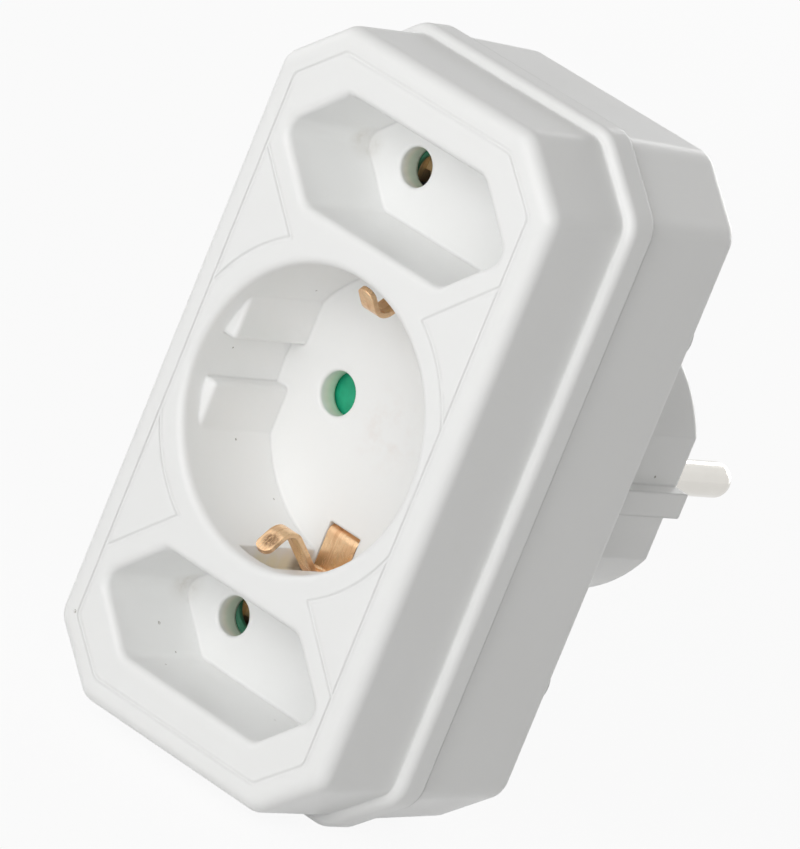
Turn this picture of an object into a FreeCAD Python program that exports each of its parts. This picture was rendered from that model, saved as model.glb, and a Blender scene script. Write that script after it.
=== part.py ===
import FreeCAD, Part
import math
import os

# A mains adapter in millimetres: one earthed round socket between two flat sockets, on a round plug.
# +Z runs along the body, +X along the pins' row, and +Y from the socket face towards the wall.
# y = 0 is the plug's end face, which meets the bottom of the wall socket.

# Body
BODY_DEPTH = 38.3
PLUG_LENGTH = 19.0
HALF_WIDTH = 24.7
HALF_HEIGHT = 47.2
CORNER_CUT_X = 8.6
CORNER_CUT_Z = 7.8
CORNER_RADIUS = 3.2
INNER_CORNER_RADIUS = 1.5
FRONT_EDGE_RADIUS = 2.1
WALL = 2.2
FACE_THICKNESS = 2.4

# Collar round the parting line
COLLAR_START = 14.3
COLLAR_DEPTH = 4.3
COLLAR_PROUD = 1.5
COLLAR_EDGE_RADIUS = 1.2

# Rear shell, with a tongue that laps inside the front cover
REAR_STEP = 0.95
REAR_DRAFT = 0.9
REAR_EDGE_RADIUS = 2.0
BACK_THICKNESS = 2.5
LAP_LENGTH = 2.0
LAP_THICKNESS = 1.0
LAP_CLEARANCE = 0.1
LAP_ROOT = 3.0

# Round socket
ROUND_WELL_RADIUS = 19.45
ROUND_WELL_DEPTH = 17.5
WELL_WALL = 1.7
ROUND_FLOOR = 3.0
RIM_RADIUS = 1.1
HOLE_RIM_RADIUS = 0.35
PIN_PITCH = 19.0
ROUND_HOLE_RADIUS = 2.9
GUIDE_FLAT_X = 17.1
GUIDE_START = 3.4
GUIDE_SLOT_WIDTH = 6.0
GUIDE_EDGE_RADIUS = 0.6
CHANNEL_WIDTH = 6.6
CHANNEL_REACH = 21.9
CHANNEL_START = 2.6
CHANNEL_WALL = 1.4
CHANNEL_ROOT = 3.0

# Flat two pin sockets
END_LAND = 8.0
FLAT_WELL_HALF_HEIGHT = 7.6
FLAT_WELL_EDGE_X = 12.2
FLAT_WELL_TIP_X = 20.0
FLAT_WELL_DEPTH = 14.6
FLAT_WELL_TAPER = 0.93
FLAT_WELL_CORNER = 2.2
FLAT_WELL_WALL = 1.5
FLAT_FLOOR = 3.6
FLAT_HOLE_PITCH = 18.6
FLAT_HOLE_RADIUS = 2.6

# Fine grooves on the face
GROOVE_WIDTH = 0.4
GROOVE_DEPTH = 0.1
LOOP_INSET = 3.3
PANEL_ARC_RADIUS = 22.7
PANEL_GAP = 3.0

# Plug
PLUG_RADIUS = 19.1
PLUG_WALL = 2.4
PLUG_FLAT_DEPTH = 2.1
PLUG_RIB_HEIGHT = 2.25
PLUG_RIB_WIDTH = 3.5
PLUG_EDGE_RADIUS = 1.2
END_WALL = 3.0
PIN_RADIUS = 2.4
PIN_LENGTH = 19.0
PIN_CLEARANCE = 0.05
SHANK_RADIUS = 2.9
FLANGE_RADIUS = 4.0
FLANGE_HEIGHT = 2.0
STUD_RADIUS = 1.6
STUD_HEAD_RADIUS = 2.6
STUD_HEAD = 1.0

# Strip metal
EARTH_STRIP = 0.7
STRAP_WIDTH = 5.2
CLIP_WIDTH = 2.6
STRAP_SIDE_CLEARANCE = 0.15
STRAP_RISE_Z = 15.2
CLIP_FOLD_Z = 21.4
CLIP_KNEE_Z = 21.1
CLIP_KNEE_DEPTH = 14.3
CLIP_CREST_Z = 14.5
CLIP_CREST_DEPTH = 6.1
CLIP_TIP_Z = 18.2
CLIP_TIP_DEPTH = 2.6
CLIP_TIP_RADIUS = 1.1
CLIP_CREST_BEND = 2.4
CLIP_KNEE_BEND = 3.0
CLIP_FOLD_BEND = 0.8
STRAP_SEAT_BEND = 0.9
STRIP_BEND = 1.2
BOW_WIDTH = 6.0
BOW_END = 2.2
EARTH_SLOT_DEPTH = 2.9
EARTH_SLOT_WIDTH = 6.8
EARTH_SLOT_END = 1.5
EARTH_SLOT_WALL = 2.0
BUSBAR_THICKNESS = 0.7
BUSBAR_X = 12.4
BUSBAR_HEIGHT = 5.6
BUSBAR_OVERHANG = 3.8
BUSBAR_TAB_WIDTH = 5.0
BUSBAR_TAB_REACH = 3.6
BUSBAR_BEND = 0.8
SLEEVE_WALL = 0.7
SLEEVE_GRIP = 0.1
SLEEVE_SLIT = 1.2
ROUND_SLEEVE_LENGTH = 6.0
FLAG_CLEARANCE = 0.25
FLAG_BELOW = 3.0
SLEEVE_CLEARANCE = 0.2
FLAT_SLEEVE_LENGTH = 7.0
FLAT_PIN_RADIUS = 2.0

# Shutters, their caps and springs
SHUTTER_PLAY = 0.15
TURN_SHUTTER_THICKNESS = 2.0
TURN_SHUTTER_GAP = 0.5
TURN_SHUTTER_RADIUS = 13.4
TURN_SHUTTER_HUB = 5.0
TURN_SHUTTER_HALF_ANGLE = 20.0
PIVOT_RADIUS = 2.0
PIVOT_CLEARANCE = 0.08
POST_RADIUS = 1.6
POST_PEG_RADIUS = 0.8
POST_ANGLE = 68.0
POST_PITCH_RADIUS = 10.6
CAP_THICKNESS = 1.2
CAP_RADIUS = 14.1
CAP_HOLE_RADIUS = 3.3
SLIDE_THICKNESS = 1.0
SLIDE_TRAVEL = 1.2
SLIDE_OPENING_RADIUS = 3.0
SLIDE_OPENING_CHAMFER = 0.4
SLIDE_HALF_WIDTH = 13.5
SLIDE_BELOW = 5.0
SLIDE_ABOVE = 3.7
SLIDE_EAR_HALF_WIDTH = 16.4
SLIDE_POST_X = 15.2
SLIDE_CAP_HALF_WIDTH = 17.4
SLIDE_CAP_HALF_HEIGHT = 5.2
SLIDE_WINDOW_X = 6.2
SLIDE_WINDOW_END_X = 13.4
SLIDE_WINDOW_HALF_HEIGHT = 4.0
SLIDE_CAP_TONGUE = 3.0
SLIDE_CAP_LIP = 1.0
SLIDE_SPRING_RADIUS = 0.38
SLIDE_SPRING_WIRE = 0.12
SLIDE_SPRING_LENGTH = 4.0
SLIDE_SPRING_TURNS = 6
SPRING_WIRE_SIDES = 6
TURN_SPRING_RADIUS = 3.1
TURN_SPRING_WIRE = 0.2
TURN_SPRING_TURNS = 2
TURN_SPRING_POCKET = 1.2
TURN_SPRING_ROOM = 0.6

# Contact carrier and its rivets
CARRIER_CLEARANCE = 0.15
CARRIER_THICKNESS = 1.6
CARRIER_EDGE = 2.4
CARRIER_END_GAP = 1.4
CARRIER_CORNER = 3.0
CARRIER_HOLE_RADIUS = 3.2
CARRIER_RIB = 1.2
CARRIER_RIB_START = 8.0
CARRIER_RIB_END = 18.0
CARRIER_BOW_ROOM = 1.1
RIVET_Z = 6.5
RIVET_RADIUS = 1.2
RIVET_HEAD_RADIUS = 2.1
RIVET_HEAD = 0.8

# Housing screws
SCREW_INSET = 4.9
SCREW_DROP = 7.3
SCREW_RADIUS = 1.25
SCREW_TIP = 8.0
SCREW_CLEARANCE = 0.04
SCREW_HOLE_RADIUS = 1.5
SCREW_HEAD_RADIUS = 2.5
SCREW_HEAD = 1.8
SCREW_SLOT_LENGTH = 3.2
SCREW_SLOT_WIDTH = 0.7
SCREW_SLOT_DEPTH = 1.0
SCREW_WELL_RADIUS = 2.8
SCREW_WELL_DEPTH = 5.0
BOSS_RADIUS = 2.9
BOSS_CLEARANCE = 0.3
POST_OUTER_RADIUS = 4.0

# Worked out from the sizes above
FACE = -(BODY_DEPTH + PLUG_LENGTH)
SPLIT = FACE + COLLAR_START + COLLAR_DEPTH
BACK = -PLUG_LENGTH
REAR_GROW = COLLAR_PROUD - REAR_STEP
ROUND_FLOOR_Y = FACE + ROUND_WELL_DEPTH
ROUND_FLOOR_BACK = ROUND_FLOOR_Y + ROUND_FLOOR
FLAT_FLOOR_Y = FACE + FLAT_WELL_DEPTH
FLAT_FLOOR_BACK = FLAT_FLOOR_Y + FLAT_FLOOR
FLAT_SOCKET_Z = HALF_HEIGHT - END_LAND - FLAT_WELL_HALF_HEIGHT
TURN_CAP_Y = ROUND_FLOOR_BACK + TURN_SHUTTER_GAP + TURN_SHUTTER_THICKNESS + SHUTTER_PLAY
SLIDE_CAP_Y = FLAT_FLOOR_BACK + SLIDE_THICKNESS + 2 * SHUTTER_PLAY
STRAP_Y = TURN_CAP_Y + CAP_THICKNESS + CARRIER_CLEARANCE + RIVET_HEAD
CARRIER_Y = STRAP_Y + 2 * EARTH_STRIP
CARRIER_BACK = CARRIER_Y + CARRIER_THICKNESS
PLUG_FLAT_X = PLUG_RADIUS - PLUG_FLAT_DEPTH
PLUG_RIB_X = PLUG_FLAT_X + PLUG_RIB_HEIGHT
EARTH_SLOT_FLOOR = PLUG_RADIUS - EARTH_SLOT_DEPTH
PIN_X = PIN_PITCH / 2
FLAT_HOLE_X = FLAT_HOLE_PITCH / 2
FLAG_START_Z = FLAT_SOCKET_Z - FLAG_BELOW
BUSBAR_END_Z = FLAT_SOCKET_Z + BUSBAR_OVERHANG
SCREW_X = HALF_WIDTH - SCREW_INSET
SCREW_Z = FLAT_SOCKET_Z - SCREW_DROP
CARRIER_HALF_WIDTH = SCREW_X + CARRIER_EDGE
CARRIER_HALF_HEIGHT = FLAG_START_Z - CARRIER_END_GAP
POST_X = POST_PITCH_RADIUS * math.cos(math.radians(POST_ANGLE))
POST_Z = POST_PITCH_RADIUS * math.sin(math.radians(POST_ANGLE))
X_AXIS = FreeCAD.Vector(1, 0, 0)
Y_AXIS = FreeCAD.Vector(0, 1, 0)
Z_AXIS = FreeCAD.Vector(0, 0, 1)
ORIGIN = FreeCAD.Vector(0, 0, 0)
OVERLAP = 0.2
THROUGH = 1.0
NEAR = 1e-3


def vec(x, y, z):
    return FreeCAD.Vector(x, y, z)


def cylinder(radius, y_start, y_end, x=0.0, z=0.0):
    return Part.makeCylinder(radius, y_end - y_start, vec(x, y_start, z), Y_AXIS)


def block(x_range, y_range, z_range):
    size = [high - low for low, high in (x_range, y_range, z_range)]
    return Part.makeBox(size[0], size[1], size[2], vec(x_range[0], y_range[0], z_range[0]))


def mirrored_x(shape):
    return shape.mirror(ORIGIN, X_AXIS)


def mirrored_z(shape):
    return shape.mirror(ORIGIN, Z_AXIS)


def four_corners(shape):
    pair = [shape, mirrored_x(shape)]
    return pair + [mirrored_z(s) for s in pair]


def rounded_outline(points, radii):
    # A closed wire through the points, with an arc of the given radius at each of them.
    starts = []
    mids = []
    ends = []
    for i, corner in enumerate(points):
        before = (points[i - 1] - corner).normalize()
        after = (points[(i + 1) % len(points)] - corner).normalize()
        half = before.getAngle(after) / 2
        reach = radii[i] / math.tan(half)
        starts.append(corner + before * reach)
        ends.append(corner + after * reach)
        middle = (before + after).normalize()
        mids.append(corner + middle * (radii[i] / math.sin(half) - radii[i]))
    edges = []
    for i in range(len(points)):
        if radii[i] > 0:
            edges.append(Part.Arc(starts[i], mids[i], ends[i]).toShape())
        following = starts[(i + 1) % len(points)]
        if (following - ends[i]).Length > NEAR:
            edges.append(Part.LineSegment(ends[i], following).toShape())
    return Part.Wire(edges)


def prism(wire, depth):
    return Part.Face(wire).extrude(Y_AXIS * depth)


def octagon(y, inset, radius):
    # The body's outline with its four cut corners, moved inwards by the inset on every side.
    slope = math.hypot(CORNER_CUT_X, CORNER_CUT_Z)
    flat_x = HALF_WIDTH - CORNER_CUT_X - inset * (slope - CORNER_CUT_X) / CORNER_CUT_Z
    flat_z = HALF_HEIGHT - CORNER_CUT_Z - inset * (slope - CORNER_CUT_Z) / CORNER_CUT_X
    quarter = [(HALF_WIDTH - inset, flat_z), (flat_x, HALF_HEIGHT - inset)]
    corners = quarter + [(-x, z) for x, z in reversed(quarter)]
    corners += [(-x, -z) for x, z in quarter] + [(x, -z) for x, z in reversed(quarter)]
    points = [vec(x, y, z) for x, z in corners]
    return rounded_outline(points, [radius] * len(points))


def hexagon(y, scale, grow):
    # The outline of a flat socket's well, scaled for its taper and then moved outwards.
    half_height = FLAT_WELL_HALF_HEIGHT * scale
    edge_x = FLAT_WELL_EDGE_X * scale
    tip_x = FLAT_WELL_TIP_X * scale
    flank = math.hypot(tip_x - edge_x, half_height)
    tip_grow = grow * flank / half_height
    edge_grow = grow * (flank - (tip_x - edge_x)) / half_height
    corners = [(edge_x + edge_grow, half_height + grow), (-edge_x - edge_grow, half_height + grow)]
    corners += [(-tip_x - tip_grow, 0)]
    corners += [(-edge_x - edge_grow, -half_height - grow), (edge_x + edge_grow, -half_height - grow)]
    corners += [(tip_x + tip_grow, 0)]
    points = [vec(x, y, z + FLAT_SOCKET_Z) for x, z in corners]
    return rounded_outline(points, [FLAT_WELL_CORNER + grow] * len(points))


def flat_well(depth, grow):
    # One tapering six sided recess, or with a wall's growth the solid round it.
    end_scale = 1 - (1 - FLAT_WELL_TAPER) * depth / FLAT_WELL_DEPTH
    return Part.makeLoft([hexagon(FACE, 1, grow), hexagon(FACE + depth, end_scale, grow)], True, True)


def edges_in_plane(shape, y):
    # The edges that lie wholly in the plane at this y.
    boxes = [(edge, edge.BoundBox) for edge in shape.Edges]
    return [edge for edge, box in boxes if max(abs(box.YMin - y), abs(box.YMax - y)) < NEAR]


def front_outside():
    # The front cover's outside: a straight walled box with the collar at its open end.
    box = prism(octagon(FACE, 0, CORNER_RADIUS), SPLIT - FACE)
    box = box.makeFillet(FRONT_EDGE_RADIUS, edges_in_plane(box, FACE))
    start = FACE + COLLAR_START
    collar = prism(octagon(start, -COLLAR_PROUD, CORNER_RADIUS + COLLAR_PROUD), COLLAR_DEPTH)
    collar = collar.makeFillet(COLLAR_EDGE_RADIUS, edges_in_plane(collar, start))
    return box.fuse(collar).removeSplitter()


def clip_channel(grow):
    # The opening behind one earth clip, sunk into the round well's wall below the rim.
    half = CHANNEL_WIDTH / 2 + grow
    start = FACE + CHANNEL_START
    end = ROUND_FLOOR_Y
    if grow > 0:
        start = FACE + FACE_THICKNESS - OVERLAP
        end = ROUND_FLOOR_BACK
    return block((-half, half), (start, end), (ROUND_WELL_RADIUS - CHANNEL_ROOT, CHANNEL_REACH + grow))


def round_well():
    # The round recess with two guide ribs a side and the channels behind the earth clips.
    well = cylinder(ROUND_WELL_RADIUS, FACE - THROUGH, ROUND_FLOOR_Y)
    far = ROUND_WELL_RADIUS + THROUGH
    corner = vec(GUIDE_FLAT_X, FACE + GUIDE_START, GUIDE_SLOT_WIDTH / 2)
    rib = block((corner.x, far), (corner.y, ROUND_FLOOR_Y + THROUGH), (corner.z, far))
    at_corner = [e for e in rib.Edges if min((v.Point - corner).Length for v in e.Vertexes) < NEAR]
    rib = rib.makeFillet(GUIDE_EDGE_RADIUS, at_corner)
    well = well.cut(four_corners(rib))
    channel = clip_channel(0)
    return well.fuse([channel, mirrored_z(channel)])


def strap_seat():
    # The recess in the well's floor that the strap lies in, and the slot that it comes up through.
    half = STRAP_WIDTH / 2 + STRAP_SIDE_CLEARANCE
    start = STRAP_RISE_Z - EARTH_STRIP / 2 - STRAP_SIDE_CLEARANCE
    top = ROUND_FLOOR_Y - OVERLAP
    recess = block((-half, half), (top, ROUND_FLOOR_Y + EARTH_STRIP), (start, CHANNEL_REACH))
    slot_end = start + EARTH_STRIP * 2 + STRAP_SIDE_CLEARANCE
    return recess.fuse(block((-half, half), (top, ROUND_FLOOR_BACK + THROUGH), (start, slot_end)))


def panel(inset):
    # One three sided field of the face, between the loop, the round well and a flat well.
    field = prism(octagon(FACE, LOOP_INSET + inset, INNER_CORNER_RADIUS), GROOVE_DEPTH)
    field = field.cut(cylinder(PANEL_ARC_RADIUS + inset, FACE - THROUGH, FACE + THROUGH))
    flank = vec(FLAT_WELL_TIP_X - FLAT_WELL_EDGE_X, 0, FLAT_WELL_HALF_HEIGHT).normalize()
    away = vec(flank.z, 0, -flank.x)
    start = vec(FLAT_WELL_TIP_X, FACE, FLAT_SOCKET_Z) + away * (PANEL_GAP + inset)
    reach = HALF_WIDTH + HALF_HEIGHT
    corners = [start + flank * reach, start - flank * reach]
    corners += [c + away * reach for c in reversed(corners)]
    keep = prism(Part.makePolygon(corners + corners[:1]), GROOVE_DEPTH)
    quarter = block((0, reach), (FACE, FACE + GROOVE_DEPTH), (0, reach))
    return field.common(keep).common(quarter)


def face_grooves():
    outer = prism(octagon(FACE, LOOP_INSET, INNER_CORNER_RADIUS), GROOVE_DEPTH)
    inner = prism(octagon(FACE, LOOP_INSET + GROOVE_WIDTH, INNER_CORNER_RADIUS), GROOVE_DEPTH)
    return [outer.cut(inner)] + four_corners(panel(0).cut(panel(GROOVE_WIDTH)))


def rim_edges(shape):
    # The edges of the three wells where they meet the face.
    found = []
    for edge in edges_in_plane(shape, FACE):
        centre = edge.CenterOfMass
        inside_x = abs(centre.x) < FLAT_WELL_TIP_X + OVERLAP
        inside_z = abs(centre.z) < FLAT_SOCKET_Z + FLAT_WELL_HALF_HEIGHT + OVERLAP
        if inside_x and inside_z:
            found.append(edge)
    return found


def pin_holes():
    # Four holes for the flat plugs' pins and two for the round plug's.
    end = FLAT_FLOOR_BACK + THROUGH
    flat = cylinder(FLAT_HOLE_RADIUS, FLAT_FLOOR_Y - THROUGH, end, FLAT_HOLE_X, FLAT_SOCKET_Z)
    middle = cylinder(ROUND_HOLE_RADIUS, ROUND_FLOOR_Y - THROUGH, ROUND_FLOOR_BACK + THROUGH, PIN_X)
    return four_corners(flat) + [middle, mirrored_x(middle)]


def hole_rims(shape):
    # The front edges of the pin holes, each a whole circle in one of the two floors.
    edges = edges_in_plane(shape, ROUND_FLOOR_Y) + edges_in_plane(shape, FLAT_FLOOR_Y)
    return [edge for edge in edges if len(edge.Vertexes) == 1]


def front_posts():
    # What stands behind the face: four screw bosses, the shutters' pivot and the caps' stepped posts.
    boss_start = FACE + FACE_THICKNESS - OVERLAP
    shapes = four_corners(cylinder(BOSS_RADIUS, boss_start, CARRIER_Y, SCREW_X, SCREW_Z))
    shapes.append(cylinder(PIVOT_RADIUS, ROUND_FLOOR_BACK - OVERLAP, TURN_CAP_Y + CAP_THICKNESS))
    for side in (1, -1):
        x, z = side * POST_X, side * POST_Z
        shapes.append(cylinder(POST_RADIUS, ROUND_FLOOR_BACK - OVERLAP, TURN_CAP_Y, x, z))
        shapes.append(cylinder(POST_PEG_RADIUS, TURN_CAP_Y - OVERLAP, TURN_CAP_Y + CAP_THICKNESS, x, z))
    post = cylinder(POST_RADIUS, FLAT_FLOOR_BACK - OVERLAP, SLIDE_CAP_Y, SLIDE_POST_X, FLAT_SOCKET_Z)
    peg_start = SLIDE_CAP_Y - OVERLAP
    peg = cylinder(POST_PEG_RADIUS, peg_start, SLIDE_CAP_Y + CAP_THICKNESS, SLIDE_POST_X, FLAT_SOCKET_Z)
    return shapes + four_corners(post) + four_corners(peg)


def front_cover():
    shell = front_outside()
    cavity = prism(octagon(FACE + FACE_THICKNESS, WALL, INNER_CORNER_RADIUS), SPLIT - FACE)
    shell = shell.cut(cavity)
    cup = cylinder(ROUND_WELL_RADIUS + WELL_WALL, FACE + FACE_THICKNESS - OVERLAP, ROUND_FLOOR_BACK)
    flat_cup = flat_well(FLAT_WELL_DEPTH + FLAT_FLOOR, FLAT_WELL_WALL)
    channel = clip_channel(CHANNEL_WALL)
    added = [cup, flat_cup, mirrored_z(flat_cup), channel, mirrored_z(channel)]
    shell = shell.fuse(added + front_posts())
    well = flat_well(FLAT_WELL_DEPTH, 0)
    shell = shell.cut([round_well(), well, mirrored_z(well)]).removeSplitter()
    shell = shell.makeFillet(RIM_RADIUS, rim_edges(shell))
    shell = shell.cut(pin_holes())
    shell = shell.makeFillet(HOLE_RIM_RADIUS, hole_rims(shell))
    seat = strap_seat()
    pilot_start = CARRIER_Y - SCREW_TIP - THROUGH
    pilot = cylinder(SCREW_RADIUS + SCREW_CLEARANCE, pilot_start, CARRIER_Y + THROUGH, SCREW_X, SCREW_Z)
    return shell.cut(face_grooves() + [seat, mirrored_z(seat)] + four_corners(pilot))


def plug_outside():
    # The round plug body with its side flats and the guide rib in the middle of each.
    body = cylinder(PLUG_RADIUS, BACK - OVERLAP, 0)
    far = PLUG_RADIUS + THROUGH
    flat = block((PLUG_FLAT_X, far), (BACK - THROUGH, THROUGH), (-far, far))
    body = body.cut([flat, mirrored_x(flat)])
    half = PLUG_RIB_WIDTH / 2
    rib = block((PLUG_FLAT_X - OVERLAP, PLUG_RIB_X), (BACK - OVERLAP, 0), (-half, half))
    body = body.fuse([rib, mirrored_x(rib)]).removeSplitter()
    return body.makeFillet(PLUG_EDGE_RADIUS, edges_in_plane(body, 0))


def plug_inside():
    # The hollow in the plug, with a thicker wall behind each earth slot.
    start = BACK - BACK_THICKNESS - OVERLAP
    hollow = cylinder(PLUG_RADIUS - PLUG_WALL, start, -END_WALL)
    reach = PLUG_FLAT_X - PLUG_WALL
    bounds = block((-reach, reach), (start, 0), (-EARTH_SLOT_FLOOR, EARTH_SLOT_FLOOR))
    hollow = hollow.common(bounds)
    half = EARTH_SLOT_WIDTH / 2 + EARTH_SLOT_WALL
    pad_start = EARTH_SLOT_FLOOR - EARTH_SLOT_WALL
    pad = block((-half, half), (start - THROUGH, THROUGH), (pad_start, PLUG_RADIUS))
    return hollow.cut([pad, mirrored_z(pad)])


def earth_slot():
    # The groove along the plug for one leg of the earth bow, with its way in through the back wall.
    half = EARTH_SLOT_WIDTH / 2
    groove = block((-half, half), (BACK, -EARTH_SLOT_END), (EARTH_SLOT_FLOOR, PLUG_RADIUS + THROUGH))
    way_in_end = EARTH_SLOT_FLOOR + EARTH_STRIP + STRAP_SIDE_CLEARANCE * 2
    way_in_y = (BACK - BACK_THICKNESS - THROUGH, BACK + THROUGH)
    way_in = block((-half, half), way_in_y, (EARTH_SLOT_FLOOR, way_in_end))
    return groove.fuse(way_in)


def rear_block():
    # The rear shell's outside as one tapering block.
    radius = CORNER_RADIUS + REAR_GROW
    rims = [octagon(SPLIT, -REAR_GROW, radius), octagon(BACK, REAR_DRAFT - REAR_GROW, radius)]
    return Part.makeLoft(rims, True, True)


def rear_bounds():
    # The space inside the rear shell's walls and the plug, which nothing of the rear cover leaves.
    start = SPLIT - LAP_LENGTH - THROUGH
    front = prism(octagon(start, 0, CORNER_RADIUS), SPLIT + OVERLAP - start)
    plug = cylinder(PLUG_RADIUS + THROUGH, BACK - OVERLAP, THROUGH)
    return rear_block().fuse([front, plug])


def rear_cavity():
    # The hollow behind the contacts, open through the tongue.
    start = SPLIT - LAP_LENGTH - THROUGH
    mouth = octagon(start, WALL + LAP_CLEARANCE + LAP_THICKNESS, INNER_CORNER_RADIUS)
    inset = WALL - REAR_GROW
    rims = [octagon(SPLIT + LAP_ROOT, inset, INNER_CORNER_RADIUS)]
    rims.append(octagon(BACK - BACK_THICKNESS, inset + REAR_DRAFT, INNER_CORNER_RADIUS))
    return [prism(mouth, SPLIT + LAP_ROOT + OVERLAP - start), Part.makeLoft(rims, True, True)]


def rear_cover():
    shell = rear_block()
    shell = shell.makeFillet(REAR_EDGE_RADIUS, edges_in_plane(shell, BACK))
    lap_inset = WALL + LAP_CLEARANCE
    tongue = prism(octagon(SPLIT - LAP_LENGTH, lap_inset, INNER_CORNER_RADIUS), LAP_LENGTH + OVERLAP)
    shell = shell.fuse([tongue, plug_outside()])
    boss_start = SPLIT - LAP_LENGTH - THROUGH
    boss_room = cylinder(BOSS_RADIUS + BOSS_CLEARANCE, boss_start, CARRIER_Y, SCREW_X, SCREW_Z)
    shell = shell.cut(rear_cavity() + four_corners(boss_room) + [plug_inside()])
    posts = four_corners(cylinder(POST_OUTER_RADIUS, CARRIER_BACK, BACK - OVERLAP, SCREW_X, SCREW_Z))
    shell = shell.fuse(posts).common(rear_bounds())
    slot = earth_slot()
    cuts = [slot, mirrored_z(slot)]
    well = cylinder(SCREW_WELL_RADIUS, BACK - SCREW_WELL_DEPTH, BACK + THROUGH, SCREW_X, SCREW_Z)
    cuts += four_corners(well)
    cuts += four_corners(cylinder(SCREW_HOLE_RADIUS, CARRIER_BACK - THROUGH, BACK, SCREW_X, SCREW_Z))
    shank = cylinder(SHANK_RADIUS + PIN_CLEARANCE, -END_WALL - THROUGH, THROUGH, PIN_X)
    return shell.cut(cuts + [shank, mirrored_x(shank)])


def folded_strip(path, bends, thickness, width):
    # A strip of metal folded along a path of (z, y) points, each inner point with its bend radius.
    points = [vec(0, y, z) for z, y in path]
    legs = [(b - a).normalize() for a, b in zip(points, points[1:])]
    normals = [vec(0, leg.z, -leg.y) for leg in legs]
    sides = []
    for sign in (1, -1):
        row = [(points[0] + normals[0] * (sign * thickness / 2), 0)]
        for i in range(1, len(points) - 1):
            bisector = (normals[i - 1] + normals[i]).normalize()
            reach = thickness / 2 / bisector.dot(normals[i])
            turns_away = normals[i - 1].dot(legs[i]) * sign < 0
            radius = bends[i - 1] + (thickness / 2 if turns_away else -thickness / 2)
            row.append((points[i] + bisector * (sign * reach), radius))
        row.append((points[-1] + normals[-1] * (sign * thickness / 2), 0))
        sides.append(row)
    outline = sides[0] + sides[1][::-1]
    wire = rounded_outline([p for p, r in outline], [r for p, r in outline])
    strip = Part.Face(wire).extrude(X_AXIS * width)
    strip.translate(X_AXIS * (-width / 2))
    return strip


def rivet_holes():
    return [cylinder(RIVET_RADIUS + PIN_CLEARANCE, FACE, BACK, 0, z) for z in (RIVET_Z, -RIVET_Z)]


def earth_strap():
    # One folded strip: a clip, the seat on the floor, the way down, the cross bar, and the same again.
    floor = ROUND_FLOOR_Y + EARTH_STRIP / 2
    cross = STRAP_Y + EARTH_STRIP / 2
    half = [(CLIP_TIP_Z, FACE + CLIP_TIP_DEPTH), (CLIP_CREST_Z, FACE + CLIP_CREST_DEPTH)]
    half += [(CLIP_KNEE_Z, FACE + CLIP_KNEE_DEPTH), (CLIP_FOLD_Z, floor)]
    half += [(STRAP_RISE_Z, floor), (STRAP_RISE_Z, cross)]
    bends = [CLIP_CREST_BEND, CLIP_KNEE_BEND, CLIP_FOLD_BEND, STRAP_SEAT_BEND, STRIP_BEND]
    path = half + [(-z, y) for z, y in reversed(half)]
    strap = folded_strip(path, bends + bends[::-1], EARTH_STRIP, STRAP_WIDTH)
    arm_end = ROUND_FLOOR_Y - EARTH_STRIP * 2
    waste = block((CLIP_WIDTH / 2, STRAP_WIDTH), (FACE, arm_end), (-HALF_HEIGHT, HALF_HEIGHT))
    strap = strap.cut([waste, mirrored_x(waste)] + rivet_holes())
    return strap.makeFillet(CLIP_TIP_RADIUS, clip_tip_edges(strap))


def clip_tip_edges(strap):
    # The two short edges at the end of each clip's arm.
    found = []
    for edge in strap.Edges:
        along_thickness = abs(edge.Length - EARTH_STRIP) < NEAR
        if along_thickness and edge.BoundBox.YMax < FACE + CLIP_TIP_DEPTH + EARTH_STRIP:
            found.append(edge)
    return found


def plug_earth_bow():
    # A bent strip across the carrier with its two legs back along the plug.
    leg_z = EARTH_SLOT_FLOOR + EARTH_STRIP / 2
    cross = CARRIER_Y - EARTH_STRIP / 2
    half = [(leg_z, -BOW_END), (leg_z, cross)]
    path = half + [(-z, y) for z, y in reversed(half)]
    bow = folded_strip(path, [STRIP_BEND, STRIP_BEND], EARTH_STRIP, BOW_WIDTH)
    return bow.cut(rivet_holes())


def contact_carrier():
    # The insulating plate across the bosses, with ribs behind it that hold the busbars.
    corners = [(CARRIER_HALF_WIDTH, CARRIER_HALF_HEIGHT), (-CARRIER_HALF_WIDTH, CARRIER_HALF_HEIGHT)]
    corners += [(-x, -z) for x, z in corners]
    points = [vec(x, CARRIER_Y, z) for x, z in corners]
    plate = prism(rounded_outline(points, [CARRIER_CORNER] * 4), CARRIER_THICKNESS)
    gap = STRAP_SIDE_CLEARANCE
    outer = BUSBAR_X + BUSBAR_THICKNESS + gap
    rib_end = CARRIER_BACK + BUSBAR_HEIGHT / 2
    rib_z = (CARRIER_RIB_START, CARRIER_RIB_END)
    rib = block((outer, outer + CARRIER_RIB), (CARRIER_BACK - OVERLAP, rib_end), rib_z)
    plate = plate.fuse(four_corners(rib))
    half = BOW_WIDTH / 2 + gap
    bend_z = (EARTH_SLOT_FLOOR - CARRIER_BOW_ROOM, EARTH_SLOT_FLOOR + CARRIER_BOW_ROOM)
    through = (CARRIER_Y - THROUGH, CARRIER_BACK + THROUGH)
    bend_room = block((-half, half), through, bend_z)
    holes = [bend_room, mirrored_z(bend_room)] + rivet_holes()
    holes += [cylinder(CARRIER_HOLE_RADIUS, through[0], through[1], x) for x in (PIN_X, -PIN_X)]
    screw_hole = cylinder(SCREW_HOLE_RADIUS, through[0], through[1], SCREW_X, SCREW_Z)
    return plate.cut(holes + four_corners(screw_hole))


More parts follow.
